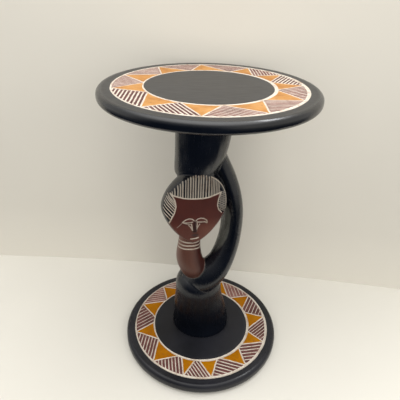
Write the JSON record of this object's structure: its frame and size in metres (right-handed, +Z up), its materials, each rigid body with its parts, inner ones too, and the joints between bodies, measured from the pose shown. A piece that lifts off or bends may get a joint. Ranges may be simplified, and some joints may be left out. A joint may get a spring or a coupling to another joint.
{
  "type": "carved pedestal side table",
  "caption": "Round side table on a carved column of two stubs, a bent arm and a mask-like head on a long neck, with a round base and painted zig-zag bands.",
  "frame": {"origin": "on the surface the table stands on, under the middle of the round base", "axes": "+Z up, the carved face looks towards -Y and is turned a little to +X, the bent arm is on the +X side"},
  "size_m": [0.3799, 0.38, 0.548],
  "materials": {
    "black_painted_wood": "satin black paint over carved hardwood, with ochre, oxblood and chalk-white bands in the visual model",
    "dowel_wood": "bare hardwood",
    "screw_steel": "zinc plated",
    "felt": "wool felt"
  },
  "bodies": {
    "root": {"table_top": "black_painted_wood", "carved_column": "black_painted_wood", "base_disc": "black_painted_wood", "top_dowel_1": "dowel_wood", "top_dowel_2": "dowel_wood", "top_dowel_3": "dowel_wood", "base_screw_1": "screw_steel", "base_screw_2": "screw_steel", "base_screw_3": "screw_steel", "base_screw_4": "screw_steel", "felt_pad_1": "felt", "felt_pad_2": "felt", "felt_pad_3": "felt", "felt_pad_4": "felt"}
  },
  "joints": []
}
